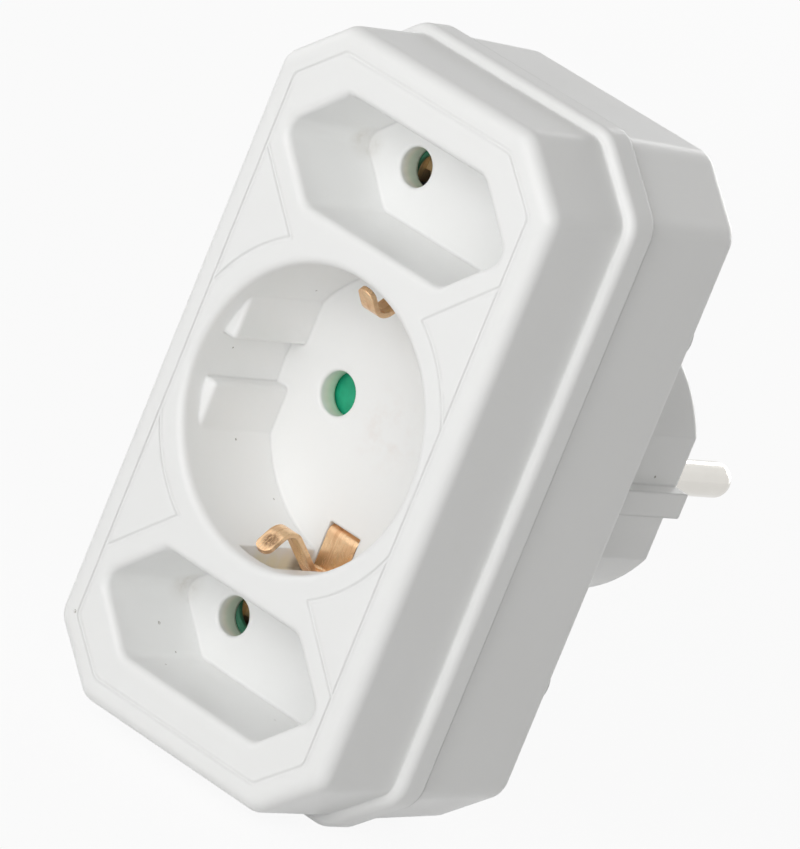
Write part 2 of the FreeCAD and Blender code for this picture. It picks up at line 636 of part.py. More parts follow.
def sleeve(x, z, bore, y_start, length):
    # A split contact sleeve, joined to the busbar beside it.
    outer = bore + SLEEVE_WALL
    y = (y_start, y_start + length)
    ring = cylinder(outer, y[0], y[1], x, z)
    web = block((x + bore, BUSBAR_X + OVERLAP), y, (z - SLEEVE_SLIT, z + SLEEVE_SLIT))
    slit = block((x - outer - THROUGH, x), y, (z - SLEEVE_SLIT / 2, z + SLEEVE_SLIT / 2))
    return ring.fuse(web).cut([cylinder(bore, y[0] - THROUGH, y[1] + THROUGH, x, z), slit])


def busbar():
    # The right hand brass strip: three contact sleeves and the tab that goes back to the plug pin.
    x_range = (BUSBAR_X, BUSBAR_X + BUSBAR_THICKNESS)
    strip = block(x_range, (CARRIER_BACK, CARRIER_BACK + BUSBAR_HEIGHT), (-BUSBAR_END_Z, BUSBAR_END_Z))
    flag_start = SLIDE_CAP_Y - SHUTTER_PLAY + FLAG_CLEARANCE
    flag = block(x_range, (flag_start, CARRIER_BACK + OVERLAP), (FLAG_START_Z, BUSBAR_END_Z))
    bore = FLAT_PIN_RADIUS - SLEEVE_GRIP / 2
    sleeve_start = SLIDE_CAP_Y + CAP_THICKNESS + SLEEVE_CLEARANCE
    contact = sleeve(FLAT_HOLE_X, FLAT_SOCKET_Z, bore, sleeve_start, FLAT_SLEEVE_LENGTH)
    middle = sleeve(PIN_X, 0, PIN_RADIUS - SLEEVE_GRIP, CARRIER_BACK, ROUND_SLEEVE_LENGTH)
    seat = -END_WALL - FLANGE_HEIGHT
    centre_x = BUSBAR_X + BUSBAR_THICKNESS / 2
    corner_y = seat - BUSBAR_THICKNESS / 2
    tab_end = PIN_X - BUSBAR_TAB_REACH
    path = [(centre_x, CARRIER_BACK + OVERLAP), (centre_x, corner_y), (tab_end, corner_y)]
    tab = folded_strip(path, [BUSBAR_BEND], BUSBAR_THICKNESS, BUSBAR_TAB_WIDTH)
    tab.rotate(ORIGIN, Y_AXIS, 90)
    hole_start = seat - BUSBAR_THICKNESS - THROUGH
    tab = tab.cut(cylinder(STUD_RADIUS + PIN_CLEARANCE, hole_start, seat + THROUGH, PIN_X))
    return strip.fuse([flag, mirrored_z(flag), contact, mirrored_z(contact), middle, tab]).removeSplitter()


def plug_pin():
    # A turned pin with a round end, a shank in the end wall, a flange behind it and a headed stud.
    seat = -END_WALL - FLANGE_HEIGHT
    shapes = [cylinder(PIN_RADIUS, -OVERLAP, PIN_LENGTH - PIN_RADIUS, PIN_X)]
    shapes.append(Part.makeSphere(PIN_RADIUS, vec(PIN_X, PIN_LENGTH - PIN_RADIUS, 0), Y_AXIS, 0, 90))
    shapes.append(cylinder(SHANK_RADIUS, -END_WALL - OVERLAP, 0, PIN_X))
    shapes.append(cylinder(FLANGE_RADIUS, seat, -END_WALL, PIN_X))
    stud_end = seat - BUSBAR_THICKNESS
    shapes.append(cylinder(STUD_RADIUS, stud_end - OVERLAP, seat + OVERLAP, PIN_X))
    shapes.append(cylinder(STUD_HEAD_RADIUS, stud_end - STUD_HEAD, stud_end, PIN_X))
    return shapes[0].fuse(shapes[1:]).removeSplitter()


def carrier_rivet():
    shaft = cylinder(RIVET_RADIUS, STRAP_Y - OVERLAP, CARRIER_BACK + OVERLAP, 0, RIVET_Z)
    heads = [cylinder(RIVET_HEAD_RADIUS, STRAP_Y - RIVET_HEAD, STRAP_Y, 0, RIVET_Z)]
    heads.append(cylinder(RIVET_HEAD_RADIUS, CARRIER_BACK, CARRIER_BACK + RIVET_HEAD, 0, RIVET_Z))
    return shaft.fuse(heads).removeSplitter()


def turning_shutter():
    # A hub with two wings that stand behind the round socket's pin holes, with a pocket for the spring.
    y = ROUND_FLOOR_BACK + TURN_SHUTTER_GAP
    end = y + TURN_SHUTTER_THICKNESS
    half_angle = math.radians(TURN_SHUTTER_HALF_ANGLE)
    reach = TURN_SHUTTER_RADIUS
    wing_z = reach * math.sin(half_angle)
    wing_x = reach * math.cos(half_angle)
    corners = [vec(0, y, 0), vec(wing_x, y, wing_z), vec(wing_x, y, -wing_z)]
    arc = Part.Arc(corners[1], vec(reach, y, 0), corners[2]).toShape()
    edges = [Part.LineSegment(corners[0], corners[1]).toShape(), arc]
    edges.append(Part.LineSegment(corners[2], corners[0]).toShape())
    wing = prism(Part.Wire(edges), TURN_SHUTTER_THICKNESS)
    hub = cylinder(TURN_SHUTTER_HUB, ROUND_FLOOR_BACK + SHUTTER_PLAY, end)
    body = hub.fuse([wing, mirrored_x(wing)]).removeSplitter()
    pocket = cylinder(TURN_SPRING_RADIUS + TURN_SPRING_ROOM, end - TURN_SPRING_POCKET, end + THROUGH)
    return body.cut([cylinder(PIVOT_RADIUS + PIVOT_CLEARANCE, y - THROUGH, end + THROUGH), pocket])


def turn_cap():
    # The disc that keeps the turning shutter on its pivot.
    end = TURN_CAP_Y + CAP_THICKNESS
    disc = cylinder(CAP_RADIUS, TURN_CAP_Y, end)
    before = TURN_CAP_Y - THROUGH
    after = end + THROUGH
    holes = [cylinder(CAP_HOLE_RADIUS, before, after, x) for x in (PIN_X, -PIN_X)]
    holes.append(cylinder(PIVOT_RADIUS + PIN_CLEARANCE, before, after))
    peg_radius = POST_PEG_RADIUS + PIN_CLEARANCE
    for side in (1, -1):
        holes.append(cylinder(peg_radius, before, after, side * POST_X, side * POST_Z))
    return disc.cut(holes)


def sliding_shutter():
    # A thin plate behind one flat socket, whose two openings stand nearer the middle than the holes.
    y = (FLAT_FLOOR_BACK + SHUTTER_PLAY, FLAT_FLOOR_BACK + SHUTTER_PLAY + SLIDE_THICKNESS)
    z = FLAT_SOCKET_Z
    top = z + SLIDE_ABOVE
    plate = block((-SLIDE_HALF_WIDTH, SLIDE_HALF_WIDTH), y, (z - SLIDE_BELOW, top))
    ear_z = z + POST_RADIUS + PIN_CLEARANCE
    ears = block((-SLIDE_EAR_HALF_WIDTH, SLIDE_EAR_HALF_WIDTH), y, (ear_z, top))
    plate = plate.fuse(ears).removeSplitter()
    rest_z = z - SLIDE_TRAVEL
    for x in (FLAT_HOLE_X, -FLAT_HOLE_X):
        cone_end = SLIDE_OPENING_RADIUS + SLIDE_OPENING_CHAMFER
        start = vec(x, y[0], rest_z)
        cone = Part.makeCone(cone_end, SLIDE_OPENING_RADIUS, SLIDE_OPENING_CHAMFER, start, Y_AXIS)
        opening = cylinder(SLIDE_OPENING_RADIUS, y[0] - THROUGH, y[1] + THROUGH, x, rest_z)
        plate = plate.cut([cone, opening])
    return plate


def slide_cap():
    # The frame behind a sliding shutter, with a tongue that holds the spring's far end.
    end = SLIDE_CAP_Y + CAP_THICKNESS
    z = FLAT_SOCKET_Z
    half = (SLIDE_CAP_HALF_WIDTH, SLIDE_CAP_HALF_HEIGHT)
    plate = block((-half[0], half[0]), (SLIDE_CAP_Y, end), (z - half[1], z + half[1]))
    stop = z + SLIDE_ABOVE + SLIDE_SPRING_LENGTH
    tongue_x = (-SLIDE_CAP_TONGUE, SLIDE_CAP_TONGUE)
    top = stop + SLIDE_CAP_LIP
    tongue = block(tongue_x, (SLIDE_CAP_Y, end), (z, top))
    lip = block(tongue_x, (FLAT_FLOOR_BACK + SHUTTER_PLAY, end), (stop, top))
    cap = plate.fuse([tongue, lip]).removeSplitter()
    window_z = (z - SLIDE_WINDOW_HALF_HEIGHT, z + SLIDE_WINDOW_HALF_HEIGHT)
    through = (SLIDE_CAP_Y - THROUGH, end + THROUGH)
    window = block((SLIDE_WINDOW_X, SLIDE_WINDOW_END_X), through, window_z)
    holes = [window, mirrored_x(window)]
    for x in (SLIDE_POST_X, -SLIDE_POST_X):
        holes.append(cylinder(POST_PEG_RADIUS + PIN_CLEARANCE, through[0], through[1], x, z))
    return cap.cut(holes)


def coil(radius, wire, length, turns):
    # A coil spring along +Z from the origin, its wire a prism of a few flat sides.
    rise = length - 2 * wire
    path = Part.makeHelix(rise / turns, rise, radius)
    points = []
    for i in range(SPRING_WIRE_SIDES + 1):
        angle = 2 * math.pi * i / SPRING_WIRE_SIDES
        points.append(vec(radius + wire * math.cos(angle), 0, wire * math.sin(angle)))
    spring = Part.Wire(path.Edges).makePipeShell([Part.makePolygon(points)], True, True)
    spring.translate(Z_AXIS * wire)
    return spring


def slide_spring():
    spring = coil(SLIDE_SPRING_RADIUS, SLIDE_SPRING_WIRE, SLIDE_SPRING_LENGTH, SLIDE_SPRING_TURNS)
    middle = FLAT_FLOOR_BACK + SHUTTER_PLAY + SLIDE_THICKNESS / 2
    spring.translate(vec(0, middle, FLAT_SOCKET_Z + SLIDE_ABOVE))
    return spring


def turn_spring():
    # A short coil in the turning shutter's pocket.
    height = TURN_SPRING_POCKET + SHUTTER_PLAY
    spring = coil(TURN_SPRING_RADIUS, TURN_SPRING_WIRE, height, TURN_SPRING_TURNS)
    spring.rotate(ORIGIN, X_AXIS, -90)
    spring.translate(Y_AXIS * (TURN_CAP_Y - height))
    return spring


def housing_screw(x, z):
    # A screw from the back with a flat head and a cross of two slots.
    seat = BACK - SCREW_WELL_DEPTH
    top = seat + SCREW_HEAD
    shaft = cylinder(SCREW_RADIUS, CARRIER_Y - SCREW_TIP, seat + OVERLAP, x, z)
    screw = shaft.fuse(cylinder(SCREW_HEAD_RADIUS, seat, top, x, z)).removeSplitter()
    long = SCREW_SLOT_LENGTH / 2
    short = SCREW_SLOT_WIDTH / 2
    depth = (top - SCREW_SLOT_DEPTH, top + OVERLAP)
    across = block((x - long, x + long), depth, (z - short, z + short))
    upright = block((x - short, x + short), depth, (z - long, z + long))
    return screw.cut([across, upright])


def build():
    pin = plug_pin()
    bar = busbar()
    rivet = carrier_rivet()
    shutter = sliding_shutter()
    cap = slide_cap()
    spring = slide_spring()
    nodes = {
        "front_cover": front_cover(),
        "rear_cover": rear_cover(),
        "earth_strap": earth_strap(),
        "plug_earth_bow": plug_earth_bow(),
        "contact_carrier": contact_carrier(),
        "right_busbar": bar,
        "left_busbar": mirrored_x(bar),
        "right_pin": pin,
        "left_pin": mirrored_x(pin),
        "upper_rivet": rivet,
        "lower_rivet": mirrored_z(rivet),
        "round_shutter": turning_shutter(),
        "round_shutter_cap": turn_cap(),
        "round_shutter_spring": turn_spring(),
        "upper_shutter": shutter,
        "lower_shutter": mirrored_z(shutter),
        "upper_shutter_cap": cap,
        "lower_shutter_cap": mirrored_z(cap),
        "upper_shutter_spring": spring,
        "lower_shutter_spring": mirrored_z(spring),
    }
    corners = [(SCREW_X, SCREW_Z), (-SCREW_X, SCREW_Z), (-SCREW_X, -SCREW_Z), (SCREW_X, -SCREW_Z)]
    for number, (x, z) in enumerate(corners, 1):
        nodes["housing_screw_%d" % number] = housing_screw(x, z)
    return nodes


os.makedirs("parts", exist_ok=True)
for name, shape in build().items():
    shape.exportStep(os.path.join("parts", name + ".step"))
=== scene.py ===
# %% [markdown]
# # A mains adapter with three sockets
# The real object is a white moulded box that plugs into a wall socket. Its face has one round
# socket between two flat ones. The solids arrive finished from the frame, so this lesson dresses
# them: it gives each moulding and each strip of metal its own finish, then sets up a small studio.

# %% Load the frame
import math
from collections import namedtuple

import bpy
from mathutils import Matrix, Vector


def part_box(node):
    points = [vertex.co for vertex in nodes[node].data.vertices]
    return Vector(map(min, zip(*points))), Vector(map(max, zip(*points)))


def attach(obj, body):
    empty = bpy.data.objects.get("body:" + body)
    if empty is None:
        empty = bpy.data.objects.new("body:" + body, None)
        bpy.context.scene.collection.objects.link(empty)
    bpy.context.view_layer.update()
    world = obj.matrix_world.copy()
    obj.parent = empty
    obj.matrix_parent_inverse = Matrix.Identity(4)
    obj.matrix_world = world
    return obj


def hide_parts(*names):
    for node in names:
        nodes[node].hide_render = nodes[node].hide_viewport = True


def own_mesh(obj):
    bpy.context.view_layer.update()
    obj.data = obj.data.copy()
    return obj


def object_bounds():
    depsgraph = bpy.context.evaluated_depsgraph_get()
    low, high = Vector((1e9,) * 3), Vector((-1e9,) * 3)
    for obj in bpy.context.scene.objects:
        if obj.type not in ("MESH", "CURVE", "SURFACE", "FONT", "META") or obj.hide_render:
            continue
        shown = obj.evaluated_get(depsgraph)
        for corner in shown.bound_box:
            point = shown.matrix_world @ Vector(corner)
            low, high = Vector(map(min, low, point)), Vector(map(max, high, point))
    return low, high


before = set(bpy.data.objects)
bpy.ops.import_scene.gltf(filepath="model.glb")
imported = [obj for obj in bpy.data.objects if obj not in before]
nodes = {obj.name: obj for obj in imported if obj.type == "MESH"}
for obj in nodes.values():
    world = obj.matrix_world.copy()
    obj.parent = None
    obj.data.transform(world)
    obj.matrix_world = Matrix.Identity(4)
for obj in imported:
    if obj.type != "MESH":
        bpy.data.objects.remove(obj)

cad_box = [[round(value, 6) for value in corner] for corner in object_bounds()]
print("nodes:", len(nodes), "box:", cad_box)

# %% [markdown]
# ## Units
# The frame is in metres, and the details of a plug are fractions of a millimetre. Every small size
# below is written as so many millimetres times MM, so a reader can check it against a ruler. Places
# on the object are given as they are seen: across the face, behind the face, and up.

# %% Millimetres and the socket face
MM = 0.001
FACE_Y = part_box("front_cover")[0].y


def at(x, depth, z):
    """A point given by its place on the face and its depth behind it, in millimetres."""
    return (x * MM, FACE_Y + depth * MM, z * MM)


print("the socket face is at y =", round(FACE_Y / MM, 2), "mm")


# %% [markdown]
# ## Shader maths in plain Python
# A material is a graph of nodes. Clicking it together is slow and hard to read back, so a small
# class wraps one socket and lets Python's own operators add the Math nodes: `1 - mask * 0.3` builds
# two of them. Colours and vectors go through Mix and Vector Math instead, because a Math node would
# turn a colour grey.

# %% A socket that understands arithmetic
MIX_FACTOR, MIX_LOW, MIX_HIGH, MIX_RESULT = 0, 6, 7, 2
NOISE_MIDDLE = 0.5


class Wire:
    """One socket of a graph, with the operators that finishes need."""

    def __init__(self, graph, socket):
        self.graph = graph
        self.socket = socket

    def math(self, operation, *values):
        return self.graph.node("ShaderNodeMath", {"operation": operation}, values)[0]

    def __add__(self, other):
        return self.math("ADD", self, other)

    def __radd__(self, other):
        return self.math("ADD", other, self)

    def __sub__(self, other):
        return self.math("SUBTRACT", self, other)

    def __rsub__(self, other):
        return self.math("SUBTRACT", other, self)

    def __mul__(self, other):
        return self.math("MULTIPLY", self, other)

    def __rmul__(self, other):
        return self.math("MULTIPLY", other, self)

    def either(self, other):
        """The larger of two masks."""
        return self.math("MAXIMUM", self, other)

    def swing(self, amount):
        """Noise turned into a change that goes as far below zero as above it."""
        return (self - NOISE_MIDDLE) * amount

    def band(self, low, high):
        """0 below low, 1 above high, and a smooth step between them."""
        settings = {"interpolation_type": "SMOOTHSTEP"}
        return self.graph.node("ShaderNodeMapRange", settings, [self, low, high, 0.0, 1.0])[0]

    def mix(self, low, high):
        """The colour low where this is 0, and high where it is 1."""
        inputs = {MIX_FACTOR: self, MIX_LOW: low, MIX_HIGH: high}
        return self.graph.node("ShaderNodeMix", {"data_type": "RGBA"}, inputs)[MIX_RESULT]


def print_helpers(kind):
    """Prints the names of a class's own methods."""
    print(kind.__name__, "has", ", ".join(name for name in vars(kind) if not name.startswith("_")))


print_helpers(Wire)


# %% [markdown]
# ## One method for any other node
# Blender has hundreds of node types, and a helper for each would be a library. Here one method,
# `node`, adds them all. It takes the type, then the settings, which are set first because they can
# change the sockets, and then the values or wires of the sockets, by place or by name.

# %% A graph of nodes
CAMERA_RAY, GLOSSY_RAY, TRANSMISSION_RAY = 0, 3, 6


class Graph:
    """A node tree, with one method that adds any node to it."""

    def __init__(self, tree):
        self.tree = tree

    def node(self, kind, settings, inputs):
        """Adds a node, applies its settings, and fills its sockets with values or wires."""
        new = self.tree.nodes.new(kind)
        for name, value in settings.items():
            setattr(new, name, value)
        pairs = inputs.items() if isinstance(inputs, dict) else enumerate(inputs)
        for index, value in pairs:
            if isinstance(value, Wire):
                self.tree.links.new(value.socket, new.inputs[index])
            else:
                new.inputs[index].default_value = value
        return [Wire(self, socket) for socket in new.outputs]

    def seen_directly(self):
        """1 for rays that come from the camera, a mirror or a clear body, and 0 for the rest."""
        ray = self.node("ShaderNodeLightPath", {}, {})
        return ray[CAMERA_RAY].either(ray[GLOSSY_RAY]).either(ray[TRANSMISSION_RAY])

    def show(self, wire, output):
        self.tree.links.new(wire.socket, self.tree.nodes[output].inputs["Surface"])


print_helpers(Graph)


# %% [markdown]
# ## A finish
# A finish is a graph with a shader at its end. Every number that is the same all over a surface is
# set on the shader's own socket, and only what varies is wired to it. The noise is measured in the
# part's own coordinates, in metres, so its grain has a true size and stays put when the part moves.
# An image texture would need the part unwrapped, and it would blur when a viewer comes close.

# %% A finish and its tools
OBJECT_PLACE = 3
ROLL_SAMPLES = 6


class Finish(Graph):
    """A material's node tree, with its shader and the part's own coordinates at hand."""

    def __init__(self, name, **shader_values):
        self.material = bpy.data.materials.new(name)
        self.material.use_nodes = True
        super().__init__(self.material.node_tree)
        self.shader = self.tree.nodes["Principled BSDF"]
        for socket, value in shader_values.items():
            self.shader.inputs[socket.replace("_", " ")].default_value = value
        self.place = self.node("ShaderNodeTexCoord", {}, {})[OBJECT_PLACE]

    def noise(self, size, detail=2.0, place=None, rough=0.5):
        """Soft random mottling whose patches are about the given size across."""
        wire = place or self.place
        values = {"Vector": wire, "Scale": 1 / size, "Detail": detail, "Roughness": rough}
        return self.node("ShaderNodeTexNoise", {}, values)[0]

    def lines(self, x, y, z):
        """Noise drawn out into lines, whose patches are the given size along each axis."""
        scales = (1 / x, 1 / y, 1 / z)
        place = self.node("ShaderNodeVectorMath", {"operation": "MULTIPLY"}, [self.place, scales])[0]
        return self.noise(1.0, place=place)

    def patch(self, point, radius, core):
        """A round spot: 1 out to a share of the radius, and 0 beyond the radius."""
        reach = self.node("ShaderNodeVectorMath", {"operation": "DISTANCE"}, [self.place, point])[1]
        return 1 - reach.band(radius * core, radius)

    def patches(self, spots, core=0.5):
        """All the spots of a list as one mask."""
        first, *rest = [self.patch(point, radius, core) for point, radius in spots]
        for spot in rest:
            first = first.either(spot)
        return first

    def rounding(self, radius):
        """The surface's normal with every sharp edge rolled over by the radius."""
        return self.node("ShaderNodeBevel", {"samples": ROLL_SAMPLES}, {"Radius": radius})[0]

    def bump(self, height, depth, strength, normal):
        """The normal with small relief laid over it, as deep as the noise is high."""
        values = {"Strength": strength, "Distance": depth, "Height": height, "Normal": normal}
        return self.node("ShaderNodeBump", {}, values)[0]

    def finish(self, **links):
        """Wires what varies to the shader, and gives the material."""
        for socket, wire in links.items():
            self.tree.links.new(wire.socket, self.shader.inputs[socket.replace("_", " ")])
        return self.material


print_helpers(Finish)


# %% [markdown]
# ## Dressing a solid
# A solid from the frame keeps its shape and its place, and only its material slot is filled. It
# could also be done by hand in the Material tab, but a name and a list of solids say it in one line.

# %% Greys, and filling a slot
def grey(value, tint=(1.0, 1.0, 1.0)):
    return tuple(value * part for part in tint) + (1.0,)


def dress(material, *names):
    """Puts the material on each named solid."""
    for name in names:
        nodes[name].data.materials.clear()
        nodes[name].data.materials.append(material)
    print(material.name, "dresses", ", ".join(names))


print("middle grey is", grey(0.5))

# %% [markdown]
# ## Specks
# This adapter is not new, and a few brown specks of dirt lie in its recesses. They could be painted
# on a texture, but a short list of points, each with a radius, does the same, keeps its true size,
# and can be read and changed here. Fine noise makes their edges ragged.

# %% Specks of dirt
SPECK_BROWN = (0.12, 0.085, 0.05, 1.0)
SPECK_RAGGED = 0.12 * MM
SPECK_BAND = (0.35, 0.6)
SPECK_STRENGTH = 0.85


def with_specks(g, colour, specks):
    """The colour with small ragged specks of dirt laid over it."""
    ragged = g.noise(SPECK_RAGGED, detail=3.0).band(*SPECK_BAND)
    return (g.patches(specks) * ragged * SPECK_STRENGTH).mix(colour, SPECK_BROWN)


front_specks = [
    (at(-21.8, 0.0, -37.8), 0.3 * MM),
    (at(-15.0, 8.3, -35.7), 0.3 * MM),
    (at(-12.1, 10.0, -38.35), 0.18 * MM),
    (at(-9.6, 5.9, -39.0), 0.2 * MM),
    (at(6.0, 10.9, -38.8), 0.18 * MM),
    (at(-16.5, 10.7, -10.3), 0.22 * MM),
    (at(-11.2, 15.8, -15.9), 0.2 * MM),
    (at(-16.0, 13.9, 11.1), 0.2 * MM),
    (at(-19.4, 6.8, 1.0), 0.18 * MM),
]
rear_specks = [(at(17.0, 51.4, 2.9), 0.25 * MM)]
print("specks of dirt:", len(front_specks) + len(rear_specks))

# %% [markdown]
# ## Painted bounce light, painted shade and a scuff
# Plug pins that missed their holes have rubbed a faint, pinkish mark on the floor between them.
# The walls of the holes get painted warm bounce light, yellowish, with painted green bounce light from
# the shutters at their inner ends. A yellow tint lies in the channels behind the earth clips, and
# painted brown shade darkens those channels and the corners of the flat recesses. The ring of painted
# light in a hole could be a mask of its own, but a spot on the hole's axis does it: its radius reaches
# the wall at the depth where the ring starts, so it paints a band on the wall that fades out there.

# %% Wide, soft marks
SCUFF_PINK = (0.83, 0.775, 0.745, 1.0)
# The yellow is painted warm bounce light in the holes and a plain tint in the clip channels, the green
# is painted bounce light from the shutters, and the brown is painted shade.
YELLOW_TINT = (0.91, 0.88, 0.72, 1.0)
GREEN_BOUNCE = (0.6, 0.78, 0.64, 1.0)
SHADE_BROWN = (0.4, 0.35, 0.26, 1.0)
MARK_GRAIN = 2.4 * MM
MARK_BAND = (0.42, 0.74)
Mark = namedtuple("Mark", "tint even broken core spots")


def with_mark(g, colour, mark):
    """The colour with one kind of mark laid over it, even in part and broken up by noise in part."""
    broken = g.noise(MARK_GRAIN, detail=6.0, rough=0.65).band(*MARK_BAND)
    amount = mark.even + broken * mark.broken
    return (g.patches(mark.spots, mark.core) * amount).mix(colour, mark.tint)


BOTH = (1, -1)
ROUND_HOLE_X, ROUND_FLOOR, ROUND_HOLE_RADIUS = 9.5, 17.5, 2.9
FLAT_HOLE_X, FLAT_FLOOR, FLAT_HOLE_RADIUS = 9.3, 14.6, 2.6
FLAT_SOCKET_Z = 31.6
holes = [(side * ROUND_HOLE_X, ROUND_FLOOR, 0.0, ROUND_HOLE_RADIUS) for side in BOTH]
holes += [
    (side * FLAT_HOLE_X, FLAT_FLOOR, end * FLAT_SOCKET_Z, FLAT_HOLE_RADIUS)
    for side in BOTH for end in BOTH
]
print("holes:", len(holes))

# %% Where the marks lie
YELLOW_DEPTH = 2.8
GREEN_DEPTH = 3.6
GREEN_START = 1.2
TINT_DEPTHS = (7.5, 10.0, 12.5)


def hole_spots(middle, start):
    """A spot in each hole, centred at one depth in it and fading out at another."""
    return [
        (at(x, floor_depth + middle, z), math.hypot(radius, middle - start) * MM)
        for x, floor_depth, z, radius in holes
    ]


scuff_spots = [(at(0.5, ROUND_FLOOR, -0.5), 7.5 * MM)]
# Painted shade in the corners of the flat recesses, and in the channels behind the earth clips.
corner_shade_spots = [(at(side * 17.6, 13.6, end * 31.2), 3.2 * MM) for side in BOTH for end in BOTH]
channel_shade_spots = [(at(-3.0, 15.8, end * 21.6), 3.0 * MM) for end in BOTH]
channel_yellow_tint = [(at(-3.3, depth, end * 21.6), 2.6 * MM) for depth in TINT_DEPTHS for end in BOTH]
front_marks = [
    Mark(SCUFF_PINK, even=0.0, broken=0.45, core=0.25, spots=scuff_spots),
    # Painted bounce light on the walls of the holes: warm yellow, then green from the shutters.
    Mark(YELLOW_TINT, even=0.7, broken=0.2, core=0.72, spots=hole_spots(YELLOW_DEPTH, 0)),
    Mark(GREEN_BOUNCE, even=0.5, broken=0.1, core=0.8, spots=hole_spots(GREEN_DEPTH, GREEN_START)),
    # A yellow tint on the walls of the channels behind the earth clips.
    Mark(YELLOW_TINT, even=0.9, broken=0.1, core=0.2, spots=channel_yellow_tint),
    # Painted brown shade in the corners of the flat recesses and in the clip channels.
    Mark(SHADE_BROWN, even=0.12, broken=0.25, core=0.1, spots=corner_shade_spots),
    Mark(SHADE_BROWN, even=0.75, broken=0.2, core=0.4, spots=channel_shade_spots),
]
# Besides the scuff, these spots hold painted bounce light, a yellow tint and painted shade.
print("spots of film, grime and scuff:", sum(len(mark.spots) for mark in front_marks))

# %% [markdown]
# ## The white housing
# Both halves are injection moulded in the same white plastic. The mould was spark eroded, so the
# skin is satin and not mirror smooth: a very fine grain, about as small as a pixel here, spreads
# the highlights. On top of it lie the slow waves of shrinkage, and the dust of some years of use.
# The colour could be one flat value, but a real moulding is never so even. Three sizes of noise give
# it life, and each is so faint that it only shows where light grazes the surface. The edges of a
# moulding are never sharp, so the normal is rolled over along each of them.

# %% White plastic
PLASTIC_WHITE = (0.912, 0.918, 0.914, 1.0)
PLASTIC_WARM = (0.89, 0.89, 0.876, 1.0)
PLASTIC_IOR = 1.49
GRAIN_SIZE, GRAIN_DEPTH = 0.12 * MM, 0.01 * MM
WAVE_SIZE, WAVE_DEPTH = 14 * MM, 0.2 * MM
SMUDGE_SIZE = 5 * MM
DUST_BAND, DUST_SHARE, WAVE_SHARE = (0.62, 0.86), 0.35, 0.5
COVER_ROLL = 0.6 * MM
COVER_ROUGHNESS = 0.34
COVER_GRAIN, COVER_WAVE = 0.25, 0.15
SMUDGE_ROUGHENS, WAVE_ROUGHENS = 0.16, 0.08


def moulded_skin(g, strength, roll):
    """The normal of a moulding: rolled edges, with the mould's fine grain over them."""
    return g.bump(g.noise(GRAIN_SIZE, detail=1.0), GRAIN_DEPTH, strength, g.rounding(roll))


def white_plastic(name, specks, marks=()):
    g = Finish(name, IOR=PLASTIC_IOR)
    wave = g.noise(WAVE_SIZE)
    smudge = g.noise(SMUDGE_SIZE, detail=5.0, rough=0.6)
    dust = smudge.band(*DUST_BAND) * DUST_SHARE
    colour = (wave * WAVE_SHARE + dust).mix(PLASTIC_WHITE, PLASTIC_WARM)
    for mark in marks:
        colour = with_mark(g, colour, mark)
    colour = with_specks(g, colour, specks)
    roughness = COVER_ROUGHNESS + smudge.swing(SMUDGE_ROUGHENS) + wave.swing(WAVE_ROUGHENS)
    normal = g.bump(wave, WAVE_DEPTH, COVER_WAVE, moulded_skin(g, COVER_GRAIN, COVER_ROLL))
    return g.finish(Base_Color=colour, Roughness=roughness, Normal=normal)


dress(white_plastic("front_white", front_specks, front_marks), "front_cover")
dress(white_plastic("rear_white", rear_specks), "rear_cover")

# %% [markdown]
# ## The green shutters
# The shutters are separate, coloured mouldings, so that a user sees that the holes are shut. The
# plastic is a softer one with a waxy gloss, a little cloudy where the colour didn't mix in evenly.
# The two sliding shutters get a darker copy of the same green, painted shade for their deeper holes.
# One function makes both, so they share their grain and gloss and differ in nothing but the colours.

# %% Green plastic
SHUTTER_GREEN = (0.02, 0.46, 0.252, 1.0)
SHUTTER_DEEP = (0.012, 0.36, 0.195, 1.0)
# The sliding shutters' greens are darker copies of the turning shutter's green: painted shade.
SHADED_GREEN = (0.06, 0.25, 0.15, 1.0)
SHADED_DEEP = (0.045, 0.19, 0.115, 1.0)
SHUTTER_IOR = 1.5
SHUTTER_ROUGHNESS = 0.38
SHUTTER_GRAIN = 0.3
CLOUD_SIZE = 2 * MM
CLOUD_BAND = (0.3, 0.7)
CLOUD_ROUGHENS = 0.2
INNER_ROLL = 0.18 * MM


def green_plastic(name, light, deep):
    g = Finish(name, IOR=SHUTTER_IOR)
    cloud = g.noise(CLOUD_SIZE, detail=4.0)
    colour = cloud.band(*CLOUD_BAND).mix(light, deep)
    roughness = SHUTTER_ROUGHNESS + cloud.swing(CLOUD_ROUGHENS)
    normal = moulded_skin(g, SHUTTER_GRAIN, INNER_ROLL)
    return g.finish(Base_Color=colour, Roughness=roughness, Normal=normal)


dress(green_plastic("shutter_green", SHUTTER_GREEN, SHUTTER_DEEP), "round_shutter")
# The sliding shutters take the darker copy, which is painted shade.
dress(green_plastic("shutter_shaded_green", SHADED_GREEN, SHADED_DEEP), "upper_shutter", "lower_shutter")

# %% [markdown]
# ## Hidden mouldings
# The caps behind the shutters and the plate that carries the contacts are plain, unpolished
# mouldings in a greyer plastic. They show only through the holes, so one simple finish serves. A
# coarser grain than the housing's keeps them matt.

# %% Grey plastic
INNER_LIGHT = grey(0.62)
INNER_WARM = grey(0.52, (1.0, 0.98, 0.94))
INNER_CLOUD = 6 * MM
INNER_GRAIN_SIZE, INNER_GRAIN_DEPTH, INNER_GRAIN = 0.3 * MM, 0.02 * MM, 0.4
INNER_ROUGHNESS, INNER_CLOUD_ROUGHENS = 0.55, 0.1


